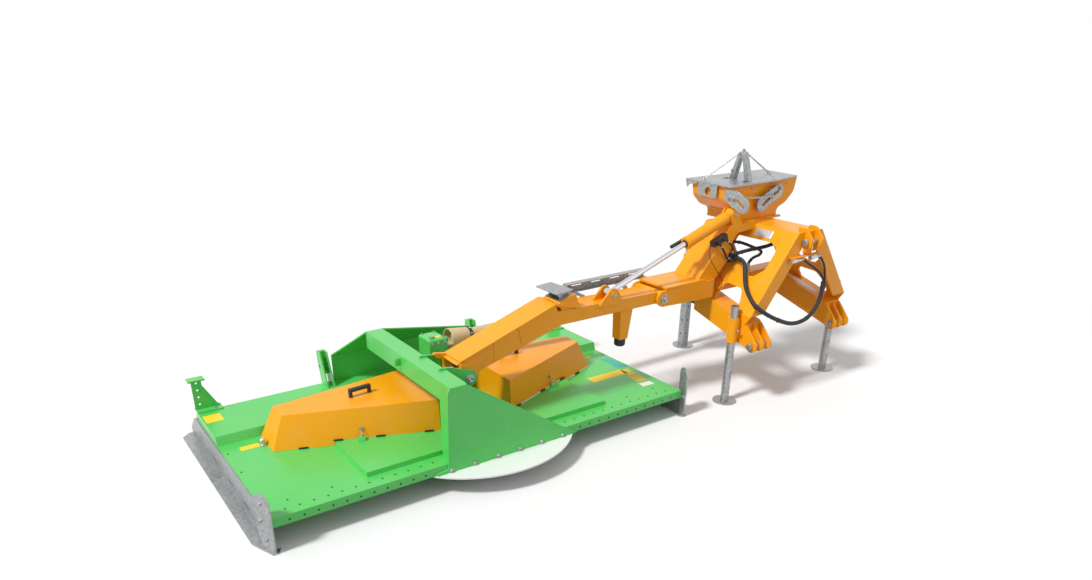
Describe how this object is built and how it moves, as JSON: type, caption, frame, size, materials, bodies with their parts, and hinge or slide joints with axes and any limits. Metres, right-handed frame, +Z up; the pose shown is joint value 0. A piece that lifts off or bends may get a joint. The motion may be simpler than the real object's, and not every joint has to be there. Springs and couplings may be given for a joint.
{
  "type": "side-reach rotary mulcher",
  "caption": "Tractor-mounted mulcher with a wide rotary deck on a hinged side arm, carried by a three-point headstock with parking stands.",
  "frame": {"origin": "on the ground, under the middle of the machine's bounding box", "axes": "+X along the deck towards the headstock, +Y rearwards, away from the tractor, +Z up"},
  "size_m": [3.839, 1.5319, 1.392],
  "materials": {
    "green_paint": "gloss",
    "orange_paint": "gloss",
    "galvanised": "satin",
    "steel": "satin",
    "chrome": "polished",
    "rubber": "matte",
    "black_plastic": "matte",
    "white_plastic": "satin",
    "beige_plastic": "satin",
    "black_paint": "satin",
    "cable_sheath": "matte"
  },
  "bodies": {
    "headstock": {"frame_beam_left": "orange_paint", "frame_beam_right": "orange_paint", "rear_frame": "orange_paint", "a_frame": "orange_paint", "top_link_bracket": "orange_paint", "hitch_pins": "galvanised", "tower": "orange_paint", "head_body": "orange_paint", "head_plate": "galvanised", "head_hoop": "galvanised", "cam_plates": "galvanised", "root_fork": "orange_paint", "root_pin": "galvanised", "drive_gearbox": "black_paint", "pto_guard": "black_plastic", "valve_block": "black_paint", "couplings": "steel", "unions": "steel", "hose_main": "rubber", "hose_upper": "rubber", "hose_lower": "rubber", "bundle_low": "rubber", "bundle_high": "rubber", "valve_hose_upper": "rubber", "valve_hose_lower": "rubber", "sensor_cable": "cable_sheath"},
    "arm": {"arm_beam": "orange_paint", "hose_tray": "galvanised", "bend_plate": "galvanised", "bumper": "rubber"},
    "lift_barrel": {"lift_barrel": "orange_paint"},
    "lift_rod": {"lift_rod": "chrome"},
    "driveline": {"driveline_tube": "black_plastic", "driveline_guard": "beige_plastic"},
    "deck": {"deck_shell": "green_paint", "deck_pad": "green_paint", "skid_right": "galvanised", "skid_left": "galvanised", "guard_plate": "white_plastic", "front_gusset": "green_paint", "portal_beam": "green_paint", "rear_gusset": "green_paint", "rear_brackets": "green_paint", "tilt_pin": "galvanised", "cover_left": "orange_paint", "cover_right": "orange_paint", "deck_gearbox": "green_paint"},
    "rotor_left": {"rotor_left": "steel"},
    "rotor_centre": {"rotor_centre": "steel"},
    "rotor_right": {"rotor_right": "steel"},
    "roller": {"roller": "black_paint"},
    "stand_left": {"stand_left": "galvanised"},
    "stand_right": {"stand_right": "galvanised"},
    "stand_rear": {"stand_rear": "galvanised"}
  },
  "joints": [
    {"name": "arm_lift", "type": "hinge", "parent": "headstock", "child": "arm", "pos_m": [0.5485, -0.266, 0.651], "axis": [0, 1, 0], "range_deg": [-8, 45]},
    {"name": "deck_tilt", "type": "hinge", "parent": "arm", "child": "deck", "pos_m": [-0.7425, -0.281, 0.472], "axis": [0, 1, 0], "range_deg": [-5, 8]},
    {"name": "barrel_swing", "type": "hinge", "parent": "headstock", "child": "lift_barrel", "pos_m": [1.0905, -0.331, 1.057], "axis": [0, 1, 0], "range_deg": [-2.4, 13.4]},
    {"name": "rod_slide", "type": "slide", "parent": "lift_barrel", "child": "lift_rod", "axis": [-0.9432, 0, -0.3321], "range_m": [-0.209, 0.0375]},
    {"name": "driveline_swing", "type": "hinge", "parent": "headstock", "child": "driveline", "pos_m": [1.1805, 0.116, 0.493], "axis": [0, 1, 0], "range_deg": [-5.2, 28.6]},
    {"name": "roller_turn", "type": "hinge", "parent": "deck", "child": "roller", "pos_m": [-0.6495, 0.661, 0.075], "axis": [1, 0, 0], "continuous": true},
    {"name": "rotor_left_turn", "type": "hinge", "parent": "deck", "child": "rotor_left", "pos_m": [-1.4195, 0.116, 0.084], "axis": [0, 0, 1], "continuous": true},
    {"name": "rotor_centre_turn", "type": "hinge", "parent": "deck", "child": "rotor_centre", "pos_m": [-0.6495, -0.209, 0.084], "axis": [0, 0, 1], "continuous": true},
    {"name": "rotor_right_turn", "type": "hinge", "parent": "deck", "child": "rotor_right", "pos_m": [0.1205, 0.116, 0.084], "axis": [0, 0, 1], "continuous": true},
    {"name": "stand_left_raise", "type": "slide", "parent": "headstock", "child": "stand_left", "axis": [0, 0, 1], "range_m": [0, 0.3]},
    {"name": "stand_right_raise", "type": "slide", "parent": "headstock", "child": "stand_right", "axis": [0, 0, 1], "range_m": [0, 0.3]},
    {"name": "stand_rear_raise", "type": "slide", "parent": "headstock", "child": "stand_rear", "axis": [0, 0, 1], "range_m": [0, 0.3]}
  ],
  "couplings": [
    {"joint": "barrel_swing", "follows": "arm_lift", "ratio": 0.2956},
    {"joint": "rod_slide", "follows": "arm_lift", "m_per_rad": -0.26488},
    {"joint": "driveline_swing", "follows": "arm_lift", "ratio": 0.6295}
  ]
}
